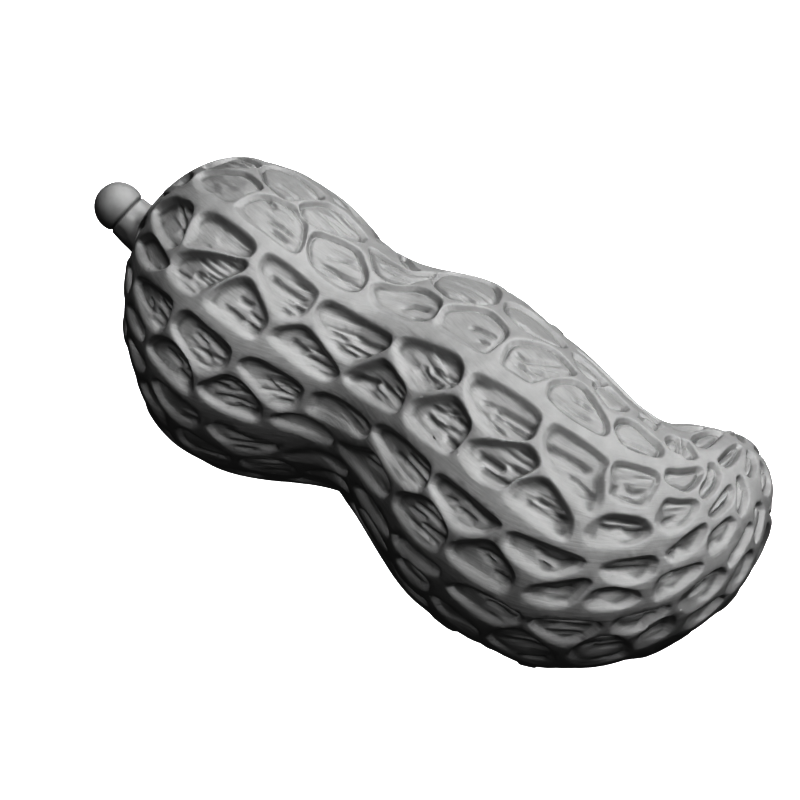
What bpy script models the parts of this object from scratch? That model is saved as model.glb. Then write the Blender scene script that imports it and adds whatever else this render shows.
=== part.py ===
"""Peanut in its shell: one closed pod with its dried stem stub.

Frame: the pod lies along X with the stem at -X, Z is up and z = 0 is the
table. The origin is under the middle of the whole outline. The beak end
curls in plan towards +Y. All values in this file are metres.
"""
import math

import bmesh
import bpy
import numpy as np
from mathutils import Vector

MM = 0.001

# Cross-sections of the pod from the stem end to the beak: centre x, centre y,
# radius and yaw of each round section (mm, mm, mm, degrees). The smooth skin
# through them is the shell's outer envelope, over the tops of its ridges.
SECTIONS = (
    (-20.4, 1.0, 0.0, 0),
    (-19.7, 1.3, 2.1, 0),
    (-18.3, 1.6, 4.0, 0),
    (-16.0, 1.0, 6.2, 0),
    (-12.5, -0.1, 7.7, 0),
    (-8.8, -0.9, 8.1, 0),      # widest of the stem lobe
    (-4.9, -0.8, 7.2, 0),
    (-1.6, 0.5, 6.6, 0),       # waist
    (1.5, 1.0, 7.1, 0),
    (5.5, -0.1, 7.6, 0),
    (9.1, -0.9, 7.6, 0),       # widest of the beak lobe
    (12.4, -1.0, 7.2, 10),
    (14.8, 0.3, 6.4, 28),
    (16.3, 2.7, 5.2, 50),
    (16.4, 5.3, 4.1, 72),
    (16.2, 7.4, 2.8, 84),
    (16.0, 8.8, 1.5, 88),
    (15.9, 9.4, 0.0, 90),      # blunt tip of the beak
)
STEM_LOBE = 5                  # index of the stem lobe's widest section
BEAK_LOBE = 10                 # index of the beak lobe's widest section
SINK = 0.2                     # how far each lobe goes below z = 0 before the cut (mm)
RINGS = 44
SEGMENTS = 48
GHOSTS = 3                     # mirrored sections past each pole

PLACE = (1.84 * MM, -0.2 * MM, 0.0)   # pod frame to the object's frame

STEM_ROOT = (-20.4, 1.01, 7.13)  # where the stem's axis leaves the pod's tip (mm, pod frame)
STEM_LEAN = (0.0, -0.3, 0.954) # side the stem bends to as it leaves along -X
STEM_BEND = math.radians(35)   # angle between the cap's end and the foot's end
BEND_LENGTH = 1.9              # run of the axis over which it bends
STEM_GAP = 0.35                # clearance between the stem's cupped foot and the pod
STEM_FOOT = 1.82               # radius of the flared foot
STEM_NECK = 1.33               # radius under the knob
KNOB_RADIUS = 1.44
KNOB_CENTRE = 2.65             # distance along the axis from its root
STEM_STEPS = 32


def natural_spline(values, at):
    """Natural cubic spline through values at 0, 1, 2 ..., read at the places in at."""
    n = len(values)
    system = np.zeros((n, n))
    right = np.zeros((n, values.shape[1]))
    system[0, 0] = system[-1, -1] = 1.0
    for i in range(1, n - 1):
        system[i, i - 1:i + 2] = (1.0, 4.0, 1.0)
        right[i] = 6.0 * (values[i - 1] - 2.0 * values[i] + values[i + 1])
    bend = np.linalg.solve(system, right)
    i = np.clip(np.floor(at).astype(int), 0, n - 2)
    t = (at - i)[:, None]
    s = 1.0 - t
    return (s * values[i] + t * values[i + 1]
            + ((s ** 3 - s) * bend[i] + (t ** 3 - t) * bend[i + 1]) / 6.0)


def section_table():
    """Rows of centre x, y, z, radius and yaw, with the mirrored rows past both poles."""
    x, y, radius, yaw = np.array(SECTIONS, dtype=float).T
    low = radius[STEM_LOBE] - SINK
    high = radius[BEAK_LOBE] - SINK
    z = np.interp(np.arange(len(x)), (0, STEM_LOBE, BEAK_LOBE, len(x) - 1),
                  (low - SINK, low, high, high - SINK))
    z = np.maximum(z, radius - SINK)
    table = np.column_stack((x, y, z, radius, yaw))
    flip = np.array((1.0, 1.0, 1.0, -1.0, 1.0))
    head = table[1:GHOSTS + 1][::-1] * flip
    tail = table[-GHOSTS - 1:-1][::-1] * flip
    return np.vstack((head, table, tail))


def skin_points(along, around):
    """Points of the skin: along runs 0..1 from stem to beak, around is an angle."""
    rows = natural_spline(section_table(), along * (len(SECTIONS) - 1) + GHOSTS)
    yaw = np.radians(rows[:, 4])
    points = rows[:, :3].copy()
    points[:, 0] -= np.sin(yaw) * rows[:, 3] * np.cos(around)
    points[:, 1] += np.cos(yaw) * rows[:, 3] * np.cos(around)
    points[:, 2] += rows[:, 3] * np.sin(around)
    return points * MM


def principled(name, colour, roughness):
    material = bpy.data.materials.new(name)
    material.use_nodes = True
    shader = material.node_tree.nodes["Principled BSDF"]
    shader.inputs["Base Color"].default_value = (*colour, 1.0)
    shader.inputs["Roughness"].default_value = roughness
    shader.inputs["Metallic"].default_value = 0.0
    return material


def new_collection(name):
    collection = bpy.data.collections.new(name)
    bpy.context.scene.collection.children.link(collection)
    return collection


def make_pod(collection, cutters):
    """A UV sphere drawn out along the sections, cut flat where it rests."""
    mesh = bpy.data.meshes.new("pod")
    work = bmesh.new()
    bmesh.ops.create_uvsphere(work, u_segments=SEGMENTS, v_segments=RINGS, radius=1.0)
    sphere = np.array([v.co[:] for v in work.verts], dtype=float)
    along = np.arccos(np.clip(-sphere[:, 2], -1.0, 1.0)) / math.pi
    around = np.arctan2(sphere[:, 1], sphere[:, 0])
    for vert, point in zip(work.verts, skin_points(along, around)):
        vert.co = point
    bmesh.ops.recalc_face_normals(work, faces=work.faces)
    work.to_mesh(mesh)
    work.free()
    mesh.shade_smooth()
    pod = bpy.data.objects.new("pod", mesh)
    pod.location = PLACE
    collection.objects.link(pod)

    # The block under the table plane trims both lobes to small flat spots.
    block = bpy.data.meshes.new("table_cut")
    work = bmesh.new()
    bmesh.ops.create_cube(work, size=1.0)
    bmesh.ops.scale(work, vec=(60 * MM, 30 * MM, 4 * MM), verts=work.verts)
    work.to_mesh(block)
    work.free()
    cutter = bpy.data.objects.new("table_cut", block)
    cutter.location = (0.0, 0.0, -2 * MM)
    cutter.display_type = "WIRE"
    cutter.hide_render = True
    cutters.objects.link(cutter)

    trim = pod.modifiers.new("rest_flats", "BOOLEAN")
    trim.operation = "DIFFERENCE"
    trim.solver = "EXACT"
    trim.object = cutter
    mesh.materials.append(principled("dry_shell", (0.46, 0.46, 0.46), 0.9))
    return pod


def stem_profile():
    """Half outline (radius, distance along the axis), from the knob's end down to the foot."""
    outline = []
    touch = math.acos(STEM_NECK / KNOB_RADIUS)
    steps = 12
    for i in range(steps + 1):
        angle = math.pi / 2 - (math.pi / 2 + touch) * i / steps
        outline.append((KNOB_RADIUS * math.cos(angle), KNOB_CENTRE + KNOB_RADIUS * math.sin(angle)))
    outline[0] = (0.0, outline[0][1])        # pole of the knob
    top = outline[-1][1]
    steps = 6
    for i in range(1, steps + 1):            # neck, flaring out to the foot
        t = i / steps
        outline.append((STEM_NECK + (STEM_FOOT - STEM_NECK) * t ** 1.8, top * (1 - t)))
    for t in (0.66, 0.33, 0.0):              # cupped foot, STEM_GAP off the rounded tip
        outline.append((STEM_FOOT * t, STEM_GAP * (1 - t * t)))
    return outline


def stem_point(r, h, turn):
    """Point at radius r and angle turn round the bent axis, at distance h along it."""
    bent = STEM_BEND * min(max(h / BEND_LENGTH, 0.0), 1.0)
    past = max(h - BEND_LENGTH, 0.0)
    bow = BEND_LENGTH / STEM_BEND
    ahead = bow * math.sin(bent) + past * math.cos(bent) - r * math.sin(turn) * math.sin(bent)
    aside = bow * (1.0 - math.cos(bent)) + past * math.sin(bent) + r * math.sin(turn) * math.cos(bent)
    lean = Vector(STEM_LEAN)
    out = Vector((-1.0, 0.0, 0.0))
    return (out * ahead + lean * aside + out.cross(lean) * (r * math.cos(turn))) * MM


def make_stem(collection):
    """Rings of the half outline set square to the bent axis, closed at both poles."""
    mesh = bpy.data.meshes.new("stem")
    work = bmesh.new()
    rings = []
    for r, h in stem_profile():
        if r == 0.0:
            rings.append([work.verts.new(stem_point(0.0, h, 0.0))])
        else:
            rings.append([work.verts.new(stem_point(r, h, 2 * math.pi * i / STEM_STEPS))
                          for i in range(STEM_STEPS)])
    for a, b in zip(rings, rings[1:]):
        for i in range(STEM_STEPS):
            j = (i + 1) % STEM_STEPS
            if len(a) == 1:
                work.faces.new((a[0], b[i], b[j]))
            elif len(b) == 1:
                work.faces.new((a[i], a[j], b[0]))
            else:
                work.faces.new((a[i], a[j], b[j], b[i]))
    bmesh.ops.recalc_face_normals(work, faces=work.faces)
    work.to_mesh(mesh)
    work.free()
    mesh.shade_smooth()
    stem = bpy.data.objects.new("stem", mesh)
    stem.location = [p * MM + q for p, q in zip(STEM_ROOT, PLACE)]
    collection.objects.link(stem)
    mesh.materials.append(principled("dry_stem", (0.42, 0.42, 0.42), 0.9))
    return stem


def main():
    for thing in list(bpy.data.objects):
        bpy.data.objects.remove(thing, do_unlink=True)
    peanut = new_collection("peanut")
    cutters = new_collection("cutters")
    make_pod(peanut, cutters)
    make_stem(peanut)


main()
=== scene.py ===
"""Looks of a peanut in its shell: the netted pod and its knobbed stem stub.

The pod's skin is the smooth envelope over the ridge tops. The pits of the net
are carved into it: those of the side shown are placed by their corners as
seen from the camera, and the rest of the shell is filled with rows of pits of
the same kind. Lengths are in millimetres until the meshes are made.
"""
import math
import bmesh
import bpy
import numpy as np
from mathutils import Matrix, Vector
from mathutils.bvhtree import BVHTree
from mathutils.kdtree import KDTree


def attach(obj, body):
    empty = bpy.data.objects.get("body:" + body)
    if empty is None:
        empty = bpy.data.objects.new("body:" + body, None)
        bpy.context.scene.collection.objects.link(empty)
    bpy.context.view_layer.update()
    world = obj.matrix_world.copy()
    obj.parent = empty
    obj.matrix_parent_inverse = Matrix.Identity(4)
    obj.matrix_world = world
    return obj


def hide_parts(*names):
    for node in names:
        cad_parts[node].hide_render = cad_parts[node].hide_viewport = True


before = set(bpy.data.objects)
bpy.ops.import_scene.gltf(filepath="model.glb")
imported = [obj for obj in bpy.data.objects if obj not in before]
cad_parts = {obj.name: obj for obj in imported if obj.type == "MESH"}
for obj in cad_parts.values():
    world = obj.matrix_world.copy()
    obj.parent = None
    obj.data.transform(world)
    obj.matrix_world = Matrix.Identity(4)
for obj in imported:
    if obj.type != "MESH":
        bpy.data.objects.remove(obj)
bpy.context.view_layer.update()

MM = 0.001

# ---------------------------------------------------------------- view
AZIMUTH, ELEVATION = math.radians(41.5), math.radians(45.0)
DISTANCE = 101.0
TARGET = np.array((1.84, -0.2, 7.57))
LENS, SENSOR, FRAME_PX = 85.0, 36.0, 800.0
FOCAL_PX = FRAME_PX * LENS / SENSOR

BACK = np.array((math.sin(AZIMUTH) * math.cos(ELEVATION),
                 -math.cos(AZIMUTH) * math.cos(ELEVATION), math.sin(ELEVATION)))
RIGHT = np.array((math.cos(AZIMUTH), math.sin(AZIMUTH), 0.0))
UP = np.cross(BACK, RIGHT)
EYE = TARGET + BACK * DISTANCE


def pixel_ray(u, v):
    ray = ((u - FRAME_PX / 2) / FOCAL_PX) * RIGHT - ((v - FRAME_PX / 2) / FOCAL_PX) * UP - BACK
    return ray / np.linalg.norm(ray)


# ---------------------------------------------------------------- the pod's skin
# Cross-sections: centre x, centre y, radius, yaw (mm, mm, mm, degrees).
SECTIONS = np.array((
    (-20.4, 1.0, 0.0, 0), (-19.7, 1.3, 2.1, 0), (-18.3, 1.6, 4.0, 0),
    (-16.0, 1.0, 6.2, 0), (-12.5, -0.1, 7.7, 0), (-8.8, -0.9, 8.1, 0),
    (-4.9, -0.8, 7.2, 0), (-1.6, 0.5, 6.6, 0), (1.5, 1.0, 7.1, 0),
    (5.5, -0.1, 7.6, 0), (9.1, -0.9, 7.6, 0), (12.4, -1.0, 7.2, 10),
    (14.8, 0.3, 6.4, 28), (16.3, 2.7, 5.2, 50), (16.4, 5.3, 4.1, 72),
    (16.2, 7.4, 2.8, 84), (16.0, 8.8, 1.5, 88), (15.9, 9.4, 0.0, 90)), dtype=float)
STEM_LOBE, BEAK_LOBE, SINK, GHOSTS = 5, 10, 0.2, 3
PROUD = 0.1                       # the ridge tops stand this much out of the mean skin
PLACE = np.array((1.84, -0.2, 0.0))
GIRTH = 7.5                       # radius that turns an angle round the pod into millimetres


def natural_spline(values, at):
    n = len(values)
    system = np.zeros((n, n))
    right = np.zeros((n, values.shape[1]))
    system[0, 0] = system[-1, -1] = 1.0
    for i in range(1, n - 1):
        system[i, i - 1:i + 2] = (1.0, 4.0, 1.0)
        right[i] = 6.0 * (values[i - 1] - 2.0 * values[i] + values[i + 1])
    bend = np.linalg.solve(system, right)
    i = np.clip(np.floor(at).astype(int), 0, n - 2)
    t = (at - i)[:, None]
    s = 1.0 - t
    return (s * values[i] + t * values[i + 1]
            + ((s ** 3 - s) * bend[i] + (t ** 3 - t) * bend[i + 1]) / 6.0)


def section_rows(along):
    """Centre x, y, z, radius and yaw at places 0..1 from the stem to the beak."""
    x, y, radius, yaw = SECTIONS.T
    low, high = radius[STEM_LOBE] - SINK, radius[BEAK_LOBE] - SINK
    z = np.interp(np.arange(len(x)), (0, STEM_LOBE, BEAK_LOBE, len(x) - 1),
                  (low - SINK, low, high, high - SINK))
    z = np.maximum(z, radius - SINK)
    table = np.column_stack((x, y, z, radius, yaw))
    flip = np.array((1.0, 1.0, 1.0, -1.0, 1.0))
    table = np.vstack((table[1:GHOSTS + 1][::-1] * flip, table, table[-GHOSTS - 1:-1][::-1] * flip))
    return natural_spline(table, np.asarray(along) * (len(SECTIONS) - 1) + GHOSTS)


def skin_grid(along, around):
    """Points of the skin on a grid of rings and places round them."""
    rows = section_rows(along)
    yaw = np.radians(rows[:, 4])
    side = np.stack((-np.sin(yaw), np.cos(yaw), 0 * yaw), 1)
    radius = rows[:, 3, None] + PROUD * ramp(rows[:, 3, None], 0.0, 2.0)
    grid = rows[:, None, :3] + side[:, None] * (radius * np.cos(around))[..., None]
    grid[..., 2] += radius * np.sin(around)
    grid[..., 2] = 0.5 * (grid[..., 2] + np.sqrt(grid[..., 2] ** 2 + 0.01)) - 0.012
    return grid + PLACE


def even_places(count, weight):
    """count places 0..1 spread by a weight given on a fine even run of places."""
    total = np.concatenate(([0.0], np.cumsum(0.5 * (weight[1:] + weight[:-1]))))
    return np.interp(np.linspace(0.0, total[-1], count), total, np.linspace(0.0, 1.0, len(weight)))


# ---------------------------------------------------------------- noise
def lattice(seed, *cells):
    """A repeatable value 0..1 for each whole-number cell."""
    value = np.full(np.shape(cells[0]), (seed * 2654435761 + 97) & 0xFFFFFFFF, dtype=np.uint64)
    for cell, prime in zip(cells, (374761393, 668265263, 2147483647)):
        value = (value + (cell.astype(np.int64) & 0xFFFFFFFF).astype(np.uint64) * np.uint64(prime)) & np.uint64(0xFFFFFFFF)
        value = ((value ^ (value >> np.uint64(15))) * np.uint64(2246822519)) & np.uint64(0xFFFFFFFF)
        value = value ^ (value >> np.uint64(13))
    return value.astype(float) / 4294967295.0


def noise(seed, *axes):
    """Smooth value noise 0..1 over two or three axes."""
    base = [np.floor(a).astype(np.int64) for a in axes]
    frac = [a - b for a, b in zip(axes, base)]
    frac = [f * f * f * (f * (f * 6 - 15) + 10) for f in frac]
    total = 0.0
    for corner in range(2 ** len(axes)):
        weight = 1.0
        cells = []
        for k, (b, f) in enumerate(zip(base, frac)):
            bit = (corner >> k) & 1
            cells.append(b + bit)
            weight = weight * (f if bit else 1 - f)
        total = total + weight * lattice(seed, *cells)
    return total


def ramp(x, low, high):
    t = np.clip((x - low) / (high - low), 0.0, 1.0)
    return t * t * (3 - 2 * t)


# ---------------------------------------------------------------- pits of the side shown
# One pit a line: its corners in the view, in pixels of the 800 x 800 frame.
PITS = """
160,203 175,196 196,206 182,238 176,246 166,250 158,238 152,222 153,210
137,240 152,232 170,262 165,268 150,271 140,262 136,250
168,187 180,177 190,172 193,176 183,186
192,180 200,172 225,169 248,172 264,188 248,191 235,200 222,201 200,190
200,166 212,160 240,157 262,164 255,168 208,170
242,200 262,193 295,205 307,222 305,240 298,253 288,250 242,217 235,205
203,212 215,213 252,238 256,248 250,256 235,256 190,247 182,243 195,218
180,251 242,258 247,264 243,270 228,276 196,297 180,290 167,275 168,262
262,258 268,253 282,260 318,290 316,298 308,310 298,319 280,318 270,305 257,270
204,298 220,284 241,277 252,280 270,320 256,338 246,337 212,314 205,305
266,338 272,329 302,325 311,331 340,373 332,380 322,381 300,368
260,168 268,165 288,169 332,201 290,200 281,196 263,180
301,204 310,202 330,203 348,214 366,235 366,239 361,242 320,228 309,221 302,212
310,238 315,232 323,232 355,246 363,256 368,278 360,290 349,291 335,285 320,273 310,261 308,248
369,244 403,268 418,272 438,272 431,278 406,284 393,282 383,277 374,268
400,256 406,257 412,265 420,270 410,269 403,263
372,284 382,283 395,286 422,286 443,300 434,316 426,320 414,321 375,307 370,298
431,279 439,273 452,272 490,282 497,286 501,294 496,304 474,304 450,298 436,287
443,307 457,305 488,309 499,317 511,332 489,351 480,352 437,328 435,321
391,347 400,338 410,338 448,350 458,356 463,367 460,380 450,388 420,392 410,386 400,373
343,374 380,358 388,363 407,390 398,411 388,413 358,396 344,384
314,315 318,306 325,301 334,301 389,333 391,338 388,348 353,364 344,362 330,349 319,332
236,368 240,361 250,358 262,361 303,387 300,400 294,409 281,411 268,405
171,322 180,311 190,312 231,347 228,362 221,371 204,376 194,371 172,333
133,288 137,277 147,281 165,294 173,303 164,328 156,333 149,327
126,305 132,306 145,330 143,341 136,336 129,322
128,264 132,272 131,284 128,292 126,284
146,345 155,336 170,340 185,357 192,376 192,390 187,396 160,370 148,354
197,384 232,373 262,406 260,420 252,423 212,406 199,393
269,417 296,414 333,437 330,445 318,443 274,426
305,408 310,396 320,393 334,397 366,421 369,430 365,437 355,437 312,415
151,381 158,379 188,405 198,417 199,426 190,428 176,421 163,407
139,381 147,383 166,415 168,428 146,399
128,334 145,362 144,371 137,371 131,355
174,428 188,431 228,455 231,461 221,464 198,455 180,441
205,426 216,424 228,428 246,439 277,445 276,451 256,455 238,454 222,443
239,461 255,457 275,460 290,466 297,472 288,476 243,467
283,454 295,451 316,452 336,460 347,468 346,476 332,470 290,461
304,473 316,470 332,473 345,482 350,494
369,434 376,425 386,427 404,440 428,463 429,472 425,485 418,492 408,490 390,472
402,414 412,400 450,394 460,401 473,427 454,450 446,455 407,428
465,392 467,380 474,373 484,375 543,412 535,435 526,440 503,440 485,431 471,415
461,448 469,439 526,443 535,452 539,464 532,470 515,478 505,488 495,488 478,480 465,467 459,456
543,437 549,426 558,424 606,458 609,464 602,474 603,503 596,513 587,515 550,475 544,455
504,490 520,481 540,477 551,483 573,518 571,533 564,541 551,536 506,503
583,534 594,522 610,514 644,519 652,530 648,538 632,545 611,548 590,545
612,467 618,461 656,471 661,479 648,504 639,507 620,503 609,495 612,483
615,427 619,419 628,418 638,423 664,447 662,455 654,456 624,446
547,390 551,381 563,378 576,380 587,387 608,420 609,431 602,435 571,418 549,398
502,358 509,344 518,340 530,341 557,349 577,372 573,375 549,375 533,382 526,380 503,364
506,302 515,303 541,318 568,345 563,348 526,332 505,311
573,352 580,356 612,386 590,379 577,363
592,383 601,382 612,388 629,406 627,410 618,410 608,406
666,439 672,435 678,437 682,447 680,453 670,448
683,439 689,442 698,455 692,458 684,457
671,427 690,426 706,427 695,430 682,430
692,439 698,433 712,430 725,433 707,447 698,445
666,476 669,469 683,470 700,467 704,472 698,484 687,492 667,482
719,458 737,443 742,446 738,457 729,467 721,464
710,463 716,464 722,474 718,487 707,499 701,496 703,486 710,477
655,519 667,498 680,501 696,500 700,505 694,517 681,529 670,534 660,530
709,514 730,484 735,491 731,503 721,514 713,518
738,478 742,477 748,487 748,502 742,516 738,510
748,450 754,455 757,466 754,478 746,474
760,461 766,467 771,480 769,494 762,493
756,505 762,504 765,512 757,545 755,533
708,546 710,535 730,517 736,523 731,535 721,548 711,554
666,552 704,523 708,530 701,545 687,556 673,563 667,558
728,560 750,522 754,529 737,561 730,568
598,570 607,563 652,556 659,562 656,573 645,581 625,585 606,581
652,595 656,583 668,573 704,562 698,575 665,599 656,601
677,606 683,596 712,573 723,568 727,575 718,590 700,606 688,613
725,590 741,561 751,550 754,556 745,576 733,592
584,601 594,592 611,588 637,592 641,599 629,606 604,611 588,609
520,594 533,586 586,579 592,584 571,605 554,609 531,603
502,543 508,533 519,534 586,560 580,569 561,576 543,579 527,570 507,554
446,549 453,542 487,540 496,547 516,578 504,596 465,574 449,559
427,486 435,475 446,477 501,523 498,529 481,535 464,535 449,526
391,505 397,492 424,497 434,507 446,529 445,540 436,552 421,544 402,524
337,442 352,448 373,451 390,485 388,494 382,498 368,486 340,454
352,487 360,487 374,504 387,526 389,541 365,511
357,507 364,511 378,532 388,552 376,539
391,533 402,538 424,558 439,568 439,576 425,573 407,561 394,547
395,558 405,560 428,581 428,591 414,585 401,571
446,587 458,584 482,593 523,616 519,623 504,627 488,623 451,595
429,594 446,604 479,631 478,637 464,632 441,614
486,637 496,631 519,628 554,653 553,662 541,665 513,656 491,643
528,623 540,619 594,622 602,627 578,644 563,647 548,641 534,631
566,656 580,645 597,638 618,637 630,647 626,656 603,663 577,665
611,627 617,620 670,605 667,613 637,634 623,637 614,633
633,640 659,621 674,616 675,626 667,635 639,649
688,617 721,596 724,600 700,622 690,628 684,626"""

# ---------------------------------------------------------------- grooves in the pits of the side shown
# One groove a line: its width in pixels, then the points it runs through in the view.
GROOVES = """
3 176,196 178,206 180,219
3 176,223 179,230 182,237
5 183,199 189,203 195,206
4 193,268 203,273 212,279
3 204,270 213,275 221,278
2.5 174,268 179,271 185,274
3 155,297 160,305 169,313
3 152,308 158,316 163,324
2 145,297 147,303
2 137,310 141,318 144,327
3 194,326 203,332 211,341 218,349 225,355
3 192,332 198,339 205,346
3 202,352 206,358 210,362
3 162,350 169,357 177,366
2.5 173,357 181,365 188,375
3 176,372 183,381 190,386
3 212,385 219,389 224,390
3 226,384 234,388 243,394
2.5 214,398 228,400 240,404 250,408
3 236,407 244,411 252,414
4 241,295 246,299 252,302
3.5 225,304 234,311 243,319
3 247,321 253,326 260,331
2.5 251,311 256,316 261,320
4.5 275,273 283,281 294,289 307,297
3.5 289,296 297,303 304,310
2.5 285,308 289,311 293,313
4 270,196 274,201 278,206
2.5 271,218 282,224 293,233
2.5 272,227 281,233 289,240
5 294,339 300,345 308,352
3 305,354 314,359 323,366 331,371
2.5 316,362 324,368
3 333,330 339,333 345,338
3 337,343 344,348 353,354
5 356,334 366,339 380,343
3 349,343 357,348 366,352
2.5 328,216 340,224 352,234
2.5 328,254 342,258 358,260
2.5 327,262 338,268 350,278
2 344,271 352,276 360,281
2 384,264 396,272 410,277 425,276
2 386,277 400,281 416,281
3 402,301 413,299 428,302
2 412,311 420,312 428,315
3 445,295 455,299 468,301
2 452,292 462,295 474,298
3 473,322 485,328 498,335
2 480,336 490,341
2.5 523,322 535,331 548,340 560,346
3 518,351 527,358 541,360 559,363
3 515,360 530,365 545,370
2.5 536,361 549,366 560,369
5 496,402 505,405 519,413 536,423
5 494,409 505,416 520,424 532,430
3 483,396 490,398 497,403
2.5 495,422 499,425 504,428
2.5 567,402 580,410 592,418
2.5 575,396 585,401 592,407
5 551,440 560,445 572,452 583,459 593,466
3 571,472 580,478 589,486 595,493
6 478,450 490,457 502,464
4 509,461 518,465 527,470
4 480,465 490,471 500,476 509,481
5 537,496 546,502 556,510 566,518
4 527,499 540,508 552,516 562,523
3 603,524 614,527 625,525
3 626,526 633,531 642,531 650,528
4 630,483 638,488 647,488
3 611,493 614,486 621,483
2 622,494 636,498 648,494
2.5 621,436 635,441 648,447 658,452
2 625,444 640,449 655,454
2.5 665,522 669,518 678,515
2 683,547 689,547 693,543
2.5 671,558 675,553 677,548
3 607,568 622,570 642,569
2.5 602,596 615,596 627,594
3 664,580 675,575 682,569
2.5 680,577 690,573 697,569
3 693,597 703,591 711,584
3 546,591 556,593 571,591
3.5 540,554 550,559 562,564 570,562
3 536,549 546,555
3 541,564 549,569
3 475,551 485,553 492,558 500,563
3 481,557 490,565
3 493,575 502,580 511,586
3 469,506 479,515 488,521
3 455,508 463,514 471,521
2.5 463,498 468,504
2.5 441,496 451,500
2.5 406,507 414,514 421,519
3 412,504 425,514 437,526
3 419,525 430,533 441,539
3 425,503 433,512 440,522
2.5 361,459 373,469 385,482
3 365,452 373,460 379,467
2.5 401,461 410,470 420,482
3 404,453 413,462 424,474
3 389,450 393,454 397,457
3 392,541 404,541 414,548
2.5 404,558 412,566 421,574
2.5 485,606 494,611 504,616
2.5 563,622 573,624 583,622
2 558,630 571,630
3 590,640 605,642 618,642
3 584,652 592,651 598,650
3 640,630 650,621 662,617
3 643,640 655,634 668,629
2.5 647,628 658,622 668,619
2.5 693,612 705,607 713,603
2.5 342,407 350,414 359,421
2.5 268,382 276,390 287,397
3 281,387 289,391 297,396
2.5 227,436 238,440 249,442
2.5 275,462 288,467
2 335,472 343,478
3 200,441 210,446 218,449
5 421,361 425,370 432,376 441,380
4 430,362 441,368 452,374
4 378,380 384,386 391,393 399,403
5 347,372 358,374 372,379
3 391,384 397,391
4 424,410 431,418 445,423 459,429
3.5 443,433 450,439 455,445
3 443,407 453,412 464,420
3 430,402 440,405 452,407
3 731,448 725,453 720,459
2 744,482 747,490 746,500
2 762,470 764,480 762,490
2 716,512 722,507 727,500"""


def corner_cut(poly, times=2):
    """Rounds a closed outline by cutting its corners."""
    for _ in range(times):
        nxt = np.roll(poly, -1, axis=0)
        poly = np.stack((0.8 * poly + 0.2 * nxt, 0.2 * poly + 0.8 * nxt), 1).reshape(-1, poly.shape[1])
    return poly


def outline_distance(points, poly):
    """Signed distance of 2D points to a closed outline, positive inside."""
    best = np.full(len(points), 1e9)
    inside = np.zeros(len(points), dtype=bool)
    for a, b in zip(poly, np.roll(poly, -1, axis=0)):
        edge = b - a
        rel = points - a
        t = np.clip((rel @ edge) / max(edge @ edge, 1e-12), 0.0, 1.0)
        off = rel - t[:, None] * edge
        best = np.minimum(best, (off ** 2).sum(1))
        if a[1] != b[1]:
            cross = ((a[1] > points[:, 1]) != (b[1] > points[:, 1]))
            at = a[0] + (points[:, 1] - a[1]) * edge[0] / edge[1]
            inside ^= cross & (points[:, 0] < at)
    return np.where(inside, 1.0, -1.0) * np.sqrt(best)


def skin_tree():
    along = np.linspace(0.0, 1.0, 260)
    around = np.linspace(0.0, 2 * math.pi, 180, endpoint=False)
    grid = skin_grid(along, around)
    rings, n = grid.shape[:2]
    index = np.arange(rings * n).reshape(rings, n)
    quads = np.stack((index[:-1], np.roll(index[:-1], -1, 1), np.roll(index[1:], -1, 1), index[1:]), -1).reshape(-1, 4)
    return BVHTree.FromPolygons([tuple(p) for p in grid.reshape(-1, 3)], [tuple(map(int, q)) for q in quads])


def traced_pits(tree):
    """The pits of the side shown as 3D outlines on the skin, with centre and normal."""
    eye = Vector(EYE)
    pits = []
    for line in PITS.strip().splitlines():
        poly = np.array([[float(c) for c in pair.split(",")] for pair in line.split()])
        middle = poly.mean(0)
        hits, normals = [], []
        for u, v in poly:
            for pull in (0.0, 0.06, 0.12, 0.2, 0.3, 0.45, 0.6):
                q = (1 - pull) * np.array((u, v)) + pull * middle
                place, normal, _, _ = tree.ray_cast(eye, Vector(pixel_ray(*q)))
                if place is not None:
                    hits.append(place[:])
                    normals.append(normal[:])
                    break
        hits, normals = np.array(hits), np.array(normals)
        towards = np.sign(normals @ BACK)[:, None]
        normal = (normals * towards).mean(0)
        normal /= np.linalg.norm(normal)
        pits.append((corner_cut(hits), hits.mean(0), normal))
    return pits


def traced_grooves(tree):
    """The grooves of the side shown as 3D lines on the skin: points, normal and width."""
    eye = Vector(EYE)
    grooves = []
    for line in GROOVES.strip().splitlines():
        width, *pairs = line.split()
        hits, normals = [], []
        for pair in pairs:
            u, v = map(float, pair.split(","))
            place, normal, _, _ = tree.ray_cast(eye, Vector(pixel_ray(u, v)))
            if place is not None:
                hits.append(place[:])
                normals.append(normal[:])
        if len(hits) > 1:
            hits, normals = np.array(hits), np.array(normals)
            first, last = hits[0] - hits[1], hits[-1] - hits[-2]
            hits[0] += 0.14 * first / np.linalg.norm(first)
            hits[-1] += 0.14 * last / np.linalg.norm(last)
            normal = (normals * np.sign(normals @ BACK)[:, None]).mean(0)
            grooves.append((hits, normal / np.linalg.norm(normal), float(width) / PX_PER_MM))
    return grooves


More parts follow.
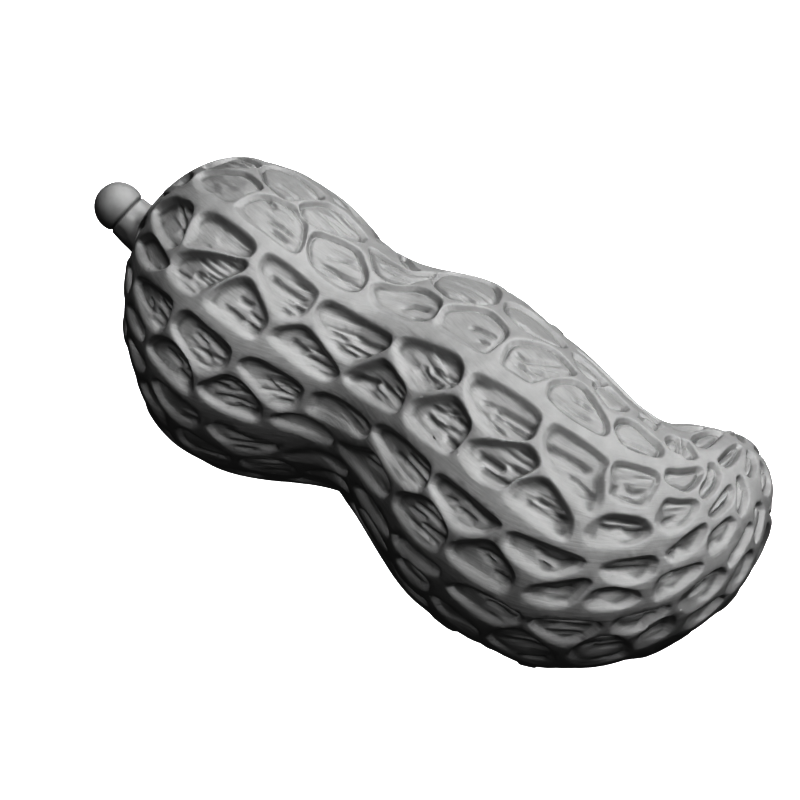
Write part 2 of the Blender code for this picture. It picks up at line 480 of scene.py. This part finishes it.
def cut_grooves(P, grooves):
    """Depth of the grooves at each point: steep on the side away from the light, gentle on the other."""
    cut = np.zeros(len(P))
    steep_side = 0.45 * RIGHT + 0.9 * UP
    for points, normal, width in grooves:
        width = max(width, 0.13)
        middle, size = points.mean(0), np.sqrt(((points - points.mean(0)) ** 2).sum(1)).max()
        near = np.flatnonzero(((P - middle) ** 2).sum(1) < (size + 4 * width) ** 2)
        q = P[near]
        best = np.full(len(near), 1e9)
        across = np.zeros(len(near))
        place = np.zeros(len(near))
        start = 0.0
        for a, b in zip(points[:-1], points[1:]):
            edge = b - a
            length = np.linalg.norm(edge)
            edge = edge / length
            side = np.cross(edge, normal)
            side *= np.sign(side @ steep_side) / np.linalg.norm(side)
            rel = q - a
            t = rel @ edge
            held = np.clip(t, 0, length)
            off = rel - held[:, None] * edge
            dist = (off ** 2).sum(1)
            nearer = dist < best
            best[nearer] = dist[nearer]
            across[nearer] = (np.sign(rel @ side) * np.sqrt(dist))[nearer]
            place[nearer] = (start + t)[nearer]
            start += length
        end = min(0.35, 0.4 * start)
        fade = ramp(place, -0.12, end) * ramp(start - place, -0.12, end)
        steep = 1 - ramp(across, -0.35 * width, 0.65 * width)
        gentle = ramp(across, -2.4 * width, -0.35 * width)
        depth = GROOVE_DEPTH * width * fade * np.minimum(steep, gentle)
        cut[near] = np.maximum(cut[near], depth)
    return cut


# ---------------------------------------------------------------- pits of the rest
def filling_seeds(rows, pit_points, seed=7):
    """Centres of the pits that fill the shell, in staggered rows along it."""
    tree = KDTree(len(pit_points))
    for i, p in enumerate(pit_points):
        tree.insert(p, i)
    tree.balance()
    seeds = []
    count = 15
    length = rows["length"]
    for row in range(count):
        place = 1.2 + 4.3 * (row % 2) / 2 + 0.9 * lattice(seed, np.array([row]))[0]
        while place < length - 1.0:
            jitter = lattice(seed + 3, np.array([row, row + 50, row + 90]), np.array([int(place * 10)] * 3))
            along = np.interp(place + 0.7 * (jitter[0] - 0.5), rows["run"], rows["along"])
            around = 2 * math.pi * (row + 0.5 * (jitter[1] - 0.5)) / count
            p = skin_grid(np.array([along]), np.array([around]))[0, 0]
            radius = section_rows([along])[0, 3]
            keep = radius > 3.2 or row % 2 == 0
            keep = keep and (radius > 1.5 or row % 4 == 0)
            if keep and tree.find(p)[2] > 1.25:
                seeds.append(p)
            place += 4.1 + 1.1 * (jitter[2] - 0.5)
    return np.array(seeds)


RIM, WALL, DROP = 0.14, 0.30, 0.30     # where a pit's wall starts outside its outline, its width, its drop
BOWL, BOWL_WIDTH = 0.20, 0.30          # how much further the floor sinks, and how far from the wall
LEAN, FLANK_LEAN = 0.03, 0.20          # how much a floor leans to the upper side of its pit, and more on the flanks
UNEVEN = 0.05                          # how much more the wall drops on the upper side, and less on the lower
MOAT = 0.20                            # depth of the narrow groove round a pit whose floor bulges
PX_PER_MM, GROOVE_DEPTH = 18.7, 0.95   # view scale; a groove's depth over its width


def carve(P, N, T, run, girth):
    """How deep the relief goes under the skin at each point, and how far into a pit it is."""
    sd = np.full(len(P), -9.0)              # distance into a pit, mm
    reach = np.full(len(P), 0.5)            # how far the pit's widest place is from its rim
    deep = np.ones(len(P))
    lead = np.zeros(len(P))                 # -1 at the pit's stem end, 1 at its beak end
    rise = np.zeros(len(P))                 # height over the pit's middle, along the skin
    front, behind = ramp(-N[:, 1], -0.3, 0.2), ramp(N[:, 1], 0.45, 0.9)
    upper = np.stack((0.2 * (front + behind), 0.84 * (front - behind), 0.5 * (front + behind)), 1)
    away = ramp(-(N * upper).sum(1), 0.1, 0.8)[:, None]
    upper = upper * (1 - away) + np.array((0.0, 0.0, 1.0)) * away
    uphill = upper - N * (N * upper).sum(1)[:, None]
    tree = skin_tree()
    pits = traced_pits(tree)
    cut = cut_grooves(P, traced_grooves(tree))
    traced = np.zeros(len(P), dtype=bool)

    outline_points = []
    for k, (poly, centre, normal) in enumerate(pits):
        side = np.cross(normal, (0.3, 0.2, 0.9))
        side /= np.linalg.norm(side)
        up = np.cross(normal, side)
        flat = np.stack(((poly - centre) @ side, (poly - centre) @ up), 1)
        size = np.sqrt((flat ** 2).sum(1)).max()
        near = np.flatnonzero((((P - centre) ** 2).sum(1) < (size + 1.3) ** 2) & (N @ normal > 0.25))
        rel = P[near] - centre
        q = np.stack((rel @ side, rel @ up), 1)
        d = outline_distance(q, flat)
        inner = max(d.max(), 0.12)
        better = d > sd[near]
        chosen = near[better]
        sd[chosen] = d[better]
        reach[chosen] = inner
        deep[chosen] = 0.9 + 0.25 * lattice(11, np.array([k]))[0]
        lead[chosen] = np.clip(((rel * T[near]).sum(1) / max(size, 0.2))[better], -1, 1)
        rise[chosen] = (rel * uphill[near]).sum(1)[better]
        traced[chosen] = d[better] > -0.3
        outline_points.extend(poly.tolist())
        outline_points.extend((0.5 * (poly + centre)).tolist())
        outline_points.append(centre.tolist())

    # The rest of the shell: each point belongs to the seed nearest to it, with
    # lengthwise distances shortened, and its pit ends half a ridge from the border.
    seeds = filling_seeds(ROWS, outline_points)
    tree = KDTree(len(outline_points))
    for i, p in enumerate(outline_points):
        tree.insert(p, i)
    tree.balance()
    open_to = np.flatnonzero(sd < -0.25)
    stretch = 0.46
    d2 = np.full((len(open_to), 5), 1e9)
    who = np.zeros((len(open_to), 5), dtype=int)
    for lo in range(0, len(open_to), 20000):
        part = open_to[lo:lo + 20000]
        gap = P[part][:, None] - seeds[None]
        dist = (gap ** 2).sum(-1) - (1 - stretch) * np.einsum("ijk,ik->ij", gap, T[part]) ** 2
        order = np.argpartition(dist, 5, axis=1)[:, :5]
        val = np.take_along_axis(dist, order, 1)
        rank = np.argsort(val, axis=1)
        d2[lo:lo + 20000] = np.take_along_axis(val, rank, 1)
        who[lo:lo + 20000] = np.take_along_axis(order, rank, 1)
    border = np.full(len(open_to), 9.0)
    mine = seeds[who[:, 0]]
    for j in range(1, 5):
        other = seeds[who[:, j]]
        gap = other - mine
        apart = np.sqrt(np.maximum((gap ** 2).sum(1) - (1 - stretch) * ((gap * T[open_to]).sum(1)) ** 2, 0.05))
        edge = (d2[:, j] - d2[:, 0]) / (2 * apart)
        h = np.clip(0.5 + 0.5 * (edge - border) / 0.5, 0, 1)
        border = edge * (1 - h) + border * h - 0.5 * h * (1 - h)
    fence = np.array([tree.find(P[i])[2] for i in open_to])
    fence = np.minimum(fence, -sd[open_to]) - 0.42
    h = np.clip(0.5 + 0.5 * (fence - border) / 0.4, 0, 1)
    border = fence * (1 - h) + border * h - 0.4 * h * (1 - h)
    wobble = noise(21, *(P[open_to].T / 1.6))
    far = np.sqrt(d2[:, 0])
    fill = border - 0.36 - 0.16 * (wobble - 0.5)
    fill = np.where(far > 3.2, np.minimum(fill, 3.2 - far), fill)
    better = fill > sd[open_to]
    chosen = open_to[better]
    sd[chosen] = fill[better]
    reach[chosen] = 1.05
    deep[chosen] = 0.85 + 0.3 * lattice(12, who[better, 0])
    lead[chosen] = np.clip(((P[chosen] - mine[better]) * T[chosen]).sum(1) / 1.9, -1, 1)
    rise[chosen] = ((P[chosen] - mine[better]) * uphill[chosen]).sum(1)

    # Walls fall in an S from the rim to the floor, which is a shallow bowl.
    sd = sd + 0.05 * (noise(31, *(P.T / 0.9)) - 0.5)
    swell = ramp(N @ np.array((0.2, 0.84, 0.5)), 0.3, 0.7)       # floors bulge on the upper far side
    flank = ramp(-N[:, 2], -0.5, 0.15)
    low = ramp(-N[:, 2], -0.15, 0.3)
    side = np.clip(rise / np.maximum(reach, 0.3), -1, 1)
    narrow = np.minimum(WALL - 0.07 * flank, 0.10 + 0.75 * reach)
    depth = deep * (narrow / WALL) ** 0.8
    wall = np.minimum(narrow * (1 + 1.1 * ramp(-side, 0.0, 0.8) * (1 - 0.6 * swell)), 0.12 + 0.95 * reach)
    t = np.clip((sd + RIM) / wall, 0, 1)
    shape = t * t * (3 - 2 * t)
    even = 0.8 * ramp(-side, 0.0, 0.7) * (1 - swell)             # lower walls are plain slopes
    shape = shape * (1 - even) + t * even
    bowl = 1 - np.exp(-np.maximum(sd, 0) / BOWL_WIDTH)
    drop = DROP * (1 + UNEVEN * side * (1 - 0.7 * swell)) * (1 - 0.35 * swell)
    relief = depth * (drop * shape + BOWL * bowl * (1 + 0.5 * side) * (1 - 1.4 * swell))
    relief = relief + MOAT * depth * swell * np.exp(-((sd - 0.06) / 0.12) ** 2)
    relief = np.maximum(relief + (LEAN + FLANK_LEAN * low) * bowl * np.clip(rise, -1.4, 1.4), 0.3 * relief)

    # Fibres: lengthwise flutes, most of them towards the pit's beak end.
    floor = ramp(sd, 0.05, 0.30) * np.clip(reach / 0.9, 0.25, 1)
    warp = 0.5 * (noise(43, run / 3.0, girth / 2.5) - 0.5)
    coarse = ramp(noise(41, run / 2.1, (girth + warp) / 0.30), 0.32, 0.68)
    fine = ramp(noise(47, run / 2.6, (girth + warp) / 0.19), 0.30, 0.70)
    patches = ramp(noise(42, run / 2.6, girth / 1.6), 0.25, 0.6) * ramp(lead, -0.75, 0.15)
    relief = relief + floor * patches * np.where(traced, 0.10 * (fine - 0.4), 0.15 * (coarse - 0.35) + 0.06 * (fine - 0.4))
    relief = relief + ramp(sd, -0.1, 0.1) * cut
    lumps = noise(44, *(P.T / 0.75)) - 0.5
    swells = noise(45, *(P.T / 1.7)) - 0.5
    relief = relief + floor * (0.07 * lumps + 0.12 * swells)

    # The ridges' tops dip and swell a little along the pod.
    crest = 1 - ramp(sd, -0.2, 0.2)
    relief = relief + crest * (0.035 * (noise(46, run / 3.2, girth / 1.0) - 0.4))
    return np.maximum(relief, -0.02), shape, floor


def smoothed(field, passes):
    """Rings x places values smoothed over their neighbours, round the pod and along it."""
    for _ in range(passes):
        field = 0.25 * (np.roll(field, 1, 1) + np.roll(field, -1, 1)) + 0.5 * field
        padded = np.vstack((field[:1], field, field[-1:]))
        field = 0.25 * (padded[:-2] + padded[2:]) + 0.5 * field
    return field


def measured_rows():
    along = np.linspace(0.0, 1.0, 1500)
    grid = skin_grid(along, np.linspace(0, 2 * math.pi, 16, endpoint=False))
    step = np.sqrt((np.diff(grid, axis=0) ** 2).sum(-1))
    mean = step.mean(1)
    run = np.concatenate(([0.0], np.cumsum(mean)))
    return {"along": along, "run": run, "length": run[-1], "weight": np.concatenate((mean[:1], mean))}


ROWS = measured_rows()


def new_mesh_object(name, points, faces, material):
    mesh = bpy.data.meshes.new(name)
    mesh.from_pydata([tuple(p) for p in points * MM], [], faces)
    mesh.validate()
    mesh.materials.append(material)
    mesh.shade_smooth()
    piece = bpy.data.objects.new(name, mesh)
    bpy.context.scene.collection.objects.link(piece)
    return piece


def tube_faces(rings, n):
    """Quads between rings of n points, then fans to a first and a last pole."""
    index = np.arange(rings * n).reshape(rings, n)
    a, b = index[:-1], index[1:]
    quads = np.stack((a, np.roll(a, -1, 1), np.roll(b, -1, 1), b), -1).reshape(-1, 4).tolist()
    first, last = rings * n, rings * n + 1
    for i in range(n):
        j = (i + 1) % n
        quads.append([first, int(index[0, j]), int(index[0, i])])
        quads.append([last, int(index[-1, i]), int(index[-1, j])])
    return quads


def build_pod(material):
    rings, n = ((760, 640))
    along = even_places(rings + 2, ROWS["weight"])[1:-1]
    facing = math.radians(127)
    turn = np.linspace(0, 2 * math.pi, 721)
    around = even_places(n + 1, 1.0 + 0.9 * ramp(np.cos(turn - facing), -0.35, 0.25))[:-1] * 2 * math.pi
    grid = skin_grid(along, around)
    ends = skin_grid(np.array([0.0, 1.0]), np.array([0.0]))[:, 0]

    lengthwise = np.gradient(grid, axis=0)
    sideways = np.roll(grid, -1, 1) - np.roll(grid, 1, 1)
    normal = np.cross(lengthwise, sideways)
    normal /= np.linalg.norm(normal, axis=-1, keepdims=True)
    middle = grid.mean(1, keepdims=True)
    normal *= np.sign((normal * (grid - middle)).sum(-1).mean())
    lengthwise /= np.linalg.norm(lengthwise, axis=-1, keepdims=True)

    P = grid.reshape(-1, 3)
    N = normal.reshape(-1, 3)
    T = lengthwise.reshape(-1, 3)
    run = np.repeat(np.interp(along, ROWS["along"], ROWS["run"]), n)
    girth = np.tile(around * GIRTH, rings)
    relief, shape, floor = carve(P, N, T, run, girth)
    points = P - N * relief[:, None]
    points = np.vstack((points, ends))

    # Painted shade: what lies lower than the skin round it is darkened in colour, what stands higher keeps its colour.
    level = relief.reshape(rings, n)
    painted_shade_mask = np.clip((level - smoothed(level, 12)) / 0.07, -1, 1)
    painted_shade_mask = smoothed(painted_shade_mask, 4)
    pod = new_mesh_object("netted_pod", points, tube_faces(rings, n), material)

    mesh = pod.data
    values = {"pit": np.concatenate((shape, (0.0, 0.0))),
              "floor": np.concatenate((floor, (0.0, 0.0))),
              "painted_crease_shade": np.concatenate((0.5 + 0.5 * painted_shade_mask.ravel(), (0.5, 0.5)))}
    for name, value in values.items():
        made = mesh.attributes.new(name, "FLOAT", "POINT")
        made.data.foreach_set("value", value.astype(np.float32))
    fibre = np.stack((np.concatenate((run, (0.0, ROWS["length"]))),
                      np.concatenate((girth, (0.0, 0.0))), np.zeros(len(points))), 1)
    made = mesh.attributes.new("fibre", "FLOAT_VECTOR", "POINT")
    made.data.foreach_set("vector", fibre.astype(np.float32).ravel())
    thin = pod.modifiers.new("thin", "DECIMATE")
    thin.ratio = 196000 / (2 * rings * n)
    graph = bpy.context.evaluated_depsgraph_get()
    lean = bpy.data.meshes.new_from_object(pod.evaluated_get(graph))
    pod.modifiers.clear()
    old = pod.data
    pod.data = lean
    bpy.data.meshes.remove(old)
    lean.shade_smooth()
    print("pod:", len(lean.polygons), "faces,", [a.name for a in lean.attributes])
    return pod


# ---------------------------------------------------------------- the stem stub
STEM_ROOT = np.array((-20.4, 1.01, 7.13)) + PLACE
STEM_LEAN = np.array((0.0, -0.3, 0.954))
STEM_BEND, BEND_LENGTH = math.radians(35), 1.9
KNOB_RADIUS, KNOB_CENTRE, STEM_NECK, STEM_FOOT = 1.46, 2.65, 1.35, 1.84


def build_stem(material):
    """A short neck that bends up from the pod's tip to a round cap, with a crease under the cap."""
    n = 96
    touch = math.acos(STEM_NECK / KNOB_RADIUS)
    profile = []
    for i in range(1, 60):
        angle = math.pi / 2 - (math.pi / 2 + touch) * i / 60
        profile.append((KNOB_RADIUS * math.cos(angle), KNOB_CENTRE + KNOB_RADIUS * math.sin(angle)))
    top = KNOB_CENTRE - KNOB_RADIUS * math.sin(touch)
    for i in range(0, 90):
        t = i / 89
        profile.append((STEM_NECK + (STEM_FOOT - STEM_NECK) * t ** 1.8, top - (top + 0.5) * t))
    profile = np.array(profile)
    turn = np.linspace(0, 2 * math.pi, n, endpoint=False)
    r = profile[:, 0][:, None] * np.ones(n)
    h = profile[:, 1][:, None] * np.ones(n)
    ang = np.ones(len(profile))[:, None] * turn
    neck = ramp(top - h, -0.05, 0.4)
    flute = noise(61, h.ravel() / 1.4, (ang * 3.0).ravel() % 18.849).reshape(r.shape) - 0.5
    lumps = noise(62, (np.cos(ang) * r).ravel() / 0.8, (np.sin(ang) * r).ravel() / 0.8, h.ravel() / 0.8).reshape(r.shape) - 0.5
    r = r * (1 + 0.06 * neck * flute) + 0.03 * lumps * (1 - neck)
    crease = np.exp(-((h - top + 0.05) / 0.09) ** 2)
    r = r - 0.11 * crease

    out, across = np.array((-1.0, 0.0, 0.0)), np.cross((-1.0, 0.0, 0.0), STEM_LEAN)
    bent = STEM_BEND * np.clip(h / BEND_LENGTH, 0, 1)
    past, before, bow = np.maximum(h - BEND_LENGTH, 0), np.minimum(h, 0), BEND_LENGTH / STEM_BEND
    ahead = bow * np.sin(bent) + past * np.cos(bent) + before - r * np.sin(ang) * np.sin(bent)
    aside = bow * (1 - np.cos(bent)) + past * np.sin(bent) + r * np.sin(ang) * np.cos(bent)
    points = (STEM_ROOT + out * ahead[..., None] + STEM_LEAN * aside[..., None]
              + across * (r * np.cos(ang))[..., None]).reshape(-1, 3)
    reach = KNOB_CENTRE + KNOB_RADIUS - BEND_LENGTH
    tip = STEM_ROOT + out * (bow * math.sin(STEM_BEND) + reach * math.cos(STEM_BEND)) \
        + STEM_LEAN * (bow * (1 - math.cos(STEM_BEND)) + reach * math.sin(STEM_BEND))
    points = np.vstack((points, tip, STEM_ROOT - out * 0.5))
    piece = new_mesh_object("stem_stub", points, tube_faces(len(profile), n), material)
    # Painted shade: the crease under the cap is marked to be darkened in colour.
    painted_crease_shade = np.concatenate((0.5 + 0.5 * crease.ravel(), (0.5, 0.5)))
    made = piece.data.attributes.new("painted_crease_shade", "FLOAT", "POINT")
    made.data.foreach_set("value", painted_crease_shade.astype(np.float32))
    return piece


# ---------------------------------------------------------------- materials
def node(tree, kind, **sockets):
    made = tree.nodes.new(kind)
    for name, value in sockets.items():
        made.inputs[name.replace("_", " ")].default_value = value
    return made


def shell_material(name, light, dark):
    """Dry matt shell: a little darker in the pits, faint fibres and mottling, with painted shade darkening the
    creases.
    """
    material = bpy.data.materials.new(name)
    material.use_nodes = True
    tree = material.node_tree
    link = tree.links.new
    shader = tree.nodes["Principled BSDF"]
    shader.inputs["Specular IOR Level"].default_value = 0.15
    pit = tree.nodes.new("ShaderNodeAttribute")
    pit.attribute_name = "pit"
    fibre = tree.nodes.new("ShaderNodeAttribute")
    fibre.attribute_name = "fibre"
    place = tree.nodes.new("ShaderNodeTexCoord")

    mottle = node(tree, "ShaderNodeTexNoise", Scale=900.0, Detail=4.0, Roughness=0.6)
    link(place.outputs["Object"], mottle.inputs["Vector"])
    speck = node(tree, "ShaderNodeTexNoise", Scale=5200.0, Detail=2.0, Roughness=0.5)
    link(place.outputs["Object"], speck.inputs["Vector"])

    stretch = tree.nodes.new("ShaderNodeMapping")
    stretch.inputs["Scale"].default_value = (0.9, 7.0, 1.0)
    link(fibre.outputs["Vector"], stretch.inputs["Vector"])
    strands = node(tree, "ShaderNodeTexNoise", Scale=1.0, Detail=4.0, Roughness=0.55)
    link(stretch.outputs["Vector"], strands.inputs["Vector"])

    tone = tree.nodes.new("ShaderNodeValToRGB")
    tone.color_ramp.elements[0].position = 0.25
    tone.color_ramp.elements[0].color = (light * 0.93, light * 0.93, light * 0.93, 1)
    tone.color_ramp.elements[1].position = 0.75
    tone.color_ramp.elements[1].color = (light * 1.05, light * 1.05, light * 1.05, 1)
    link(mottle.outputs["Fac"], tone.inputs["Fac"])
    lines = tree.nodes.new("ShaderNodeValToRGB")
    lines.color_ramp.elements[0].position = 0.3
    lines.color_ramp.elements[0].color = (dark, dark, dark, 1)
    lines.color_ramp.elements[1].position = 0.65
    lines.color_ramp.elements[1].color = (light, light, light, 1)
    link(strands.outputs["Fac"], lines.inputs["Fac"])
    share = tree.nodes.new("ShaderNodeMath")
    share.operation = "MULTIPLY"
    share.inputs[1].default_value = 0.45
    link(pit.outputs["Fac"], share.inputs[0])
    mix = tree.nodes.new("ShaderNodeMix")
    mix.data_type = "RGBA"
    link(share.outputs[0], mix.inputs["Factor"])
    link(tone.outputs["Color"], mix.inputs["A"])
    link(lines.outputs["Color"], mix.inputs["B"])
    # Painted shade: the base colour is multiplied darker where the crease attribute marks a recess.
    painted_crease_shade = tree.nodes.new("ShaderNodeAttribute")
    painted_crease_shade.attribute_name = "painted_crease_shade"
    painted_shade_ramp = tree.nodes.new("ShaderNodeValToRGB")
    painted_shade_ramp.color_ramp.interpolation = "LINEAR"
    stops = painted_shade_ramp.color_ramp.elements
    stops[0].color = (1.0, 1.0, 1.0, 1)
    stops[1].color = (0.48, 0.48, 0.48, 1)
    for at, level in ((0.5, 1.0), (0.65, 0.96)):
        stops.new(at).color = (level, level, level, 1)
    link(painted_crease_shade.outputs["Fac"], painted_shade_ramp.inputs["Fac"])
    painted_shade_mix = tree.nodes.new("ShaderNodeMix")
    painted_shade_mix.data_type = "RGBA"
    painted_shade_mix.blend_type = "MULTIPLY"
    painted_shade_mix.inputs["Factor"].default_value = 1.0
    link(mix.outputs["Result"], painted_shade_mix.inputs["A"])
    link(painted_shade_ramp.outputs["Color"], painted_shade_mix.inputs["B"])
    link(painted_shade_mix.outputs["Result"], shader.inputs["Base Color"])

    rough = tree.nodes.new("ShaderNodeMapRange")
    rough.inputs["To Min"].default_value = 0.78
    rough.inputs["To Max"].default_value = 0.96
    link(speck.outputs["Fac"], rough.inputs["Value"])
    link(rough.outputs["Result"], shader.inputs["Roughness"])

    fine = tree.nodes.new("ShaderNodeBump")
    fine.inputs["Strength"].default_value = 0.12
    fine.inputs["Distance"].default_value = 0.00005
    link(speck.outputs["Fac"], fine.inputs["Height"])
    long = tree.nodes.new("ShaderNodeBump")
    long.inputs["Strength"].default_value = 0.25
    long.inputs["Distance"].default_value = 0.00008
    link(strands.outputs["Fac"], long.inputs["Height"])
    link(fine.outputs["Normal"], long.inputs["Normal"])
    link(long.outputs["Normal"], shader.inputs["Normal"])
    return material


def floor_material():
    """Pale seamless paper, lit evenly enough to read as white."""
    material = bpy.data.materials.new("pale_floor")
    material.use_nodes = True
    tree = material.node_tree
    shader = tree.nodes["Principled BSDF"]
    shader.inputs["Base Color"].default_value = (0.82, 0.82, 0.82, 1)
    shader.inputs["Roughness"].default_value = 1.0
    shader.inputs["Specular IOR Level"].default_value = 0.0
    shader.inputs["Emission Color"].default_value = (1, 1, 1, 1)
    shader.inputs["Emission Strength"].default_value = 0.62
    return material


# ---------------------------------------------------------------- pieces
pod = build_pod(shell_material("dry_shell", 0.50, 0.42))
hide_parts("pod")
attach(pod, "root")

stem = build_stem(shell_material("dry_stem", 0.48, 0.40))
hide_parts("stem")
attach(stem, "root")

# ---------------------------------------------------------------- floor, light, camera
floor = new_mesh_object("floor", np.array(((-1500, -1500, -0.03), (1500, -1500, -0.03),
                                           (1500, 1500, -0.03), (-1500, 1500, -0.03)), dtype=float),
                        [(0, 1, 2, 3)], floor_material())
floor.visible_diffuse = False
floor.visible_glossy = False


def area_light(name, direction, distance, size, power):
    lamp = bpy.data.lights.new(name, "AREA")
    lamp.shape = "DISK"
    lamp.size = size * MM
    lamp.energy = power
    light = bpy.data.objects.new(name, lamp)
    direction = Vector(direction).normalized()
    light.location = Vector(TARGET * MM) + direction * distance * MM
    light.rotation_euler = direction.to_track_quat("Z", "Y").to_euler()
    bpy.context.scene.collection.objects.link(light)
    return light


def towards(tilt, turn):
    """A direction tilt degrees off the view, turned from the frame's right."""
    tilt, turn = math.radians(tilt), math.radians(turn)
    return BACK * math.cos(tilt) + (RIGHT * math.cos(turn) + UP * math.sin(turn)) * math.sin(tilt)


area_light("key", towards(43, 62), 320, 240, 0.62)
area_light("soft_key", towards(43, 62), 320, 240, 1.10).data.use_shadow = False
area_light("front_fill", towards(10, 90), 380, 200, 0.16).data.use_shadow = False
area_light("low_rim", towards(80, 250), 380, 200, 0.10).data.use_shadow = False
area_light("back_fill", (-0.62, 0.78, 0.25), 320, 160, 0.22).data.use_shadow = False

world = bpy.data.worlds.new("studio")
bpy.context.scene.world = world
world.use_nodes = True
tree = world.node_tree
background = tree.nodes["Background"]
background.inputs["Color"].default_value = (1, 1, 1, 1)
background.inputs["Strength"].default_value = 0.035
seen = tree.nodes.new("ShaderNodeBackground")
seen.inputs["Color"].default_value = (1, 1, 1, 1)
seen.inputs["Strength"].default_value = 1.0
path = tree.nodes.new("ShaderNodeLightPath")
pick = tree.nodes.new("ShaderNodeMixShader")
tree.links.new(path.outputs["Is Camera Ray"], pick.inputs["Fac"])
tree.links.new(background.outputs[0], pick.inputs[1])
tree.links.new(seen.outputs[0], pick.inputs[2])
tree.links.new(pick.outputs[0], tree.nodes["World Output"].inputs["Surface"])

camera_data = bpy.data.cameras.new("camera")
camera_data.lens = LENS
camera_data.sensor_width = SENSOR
camera_data.clip_start = 0.005
camera_data.clip_end = 20.0
camera = bpy.data.objects.new("camera", camera_data)
camera.location = Vector(EYE * MM)
camera.rotation_euler = Vector(BACK).to_track_quat("Z", "Y").to_euler()
bpy.context.scene.collection.objects.link(camera)
bpy.context.scene.camera = camera

view = bpy.context.scene.view_settings
view.view_transform = "Raw"
view.look = "None"
view.exposure = 0.0
view.gamma = 0.96
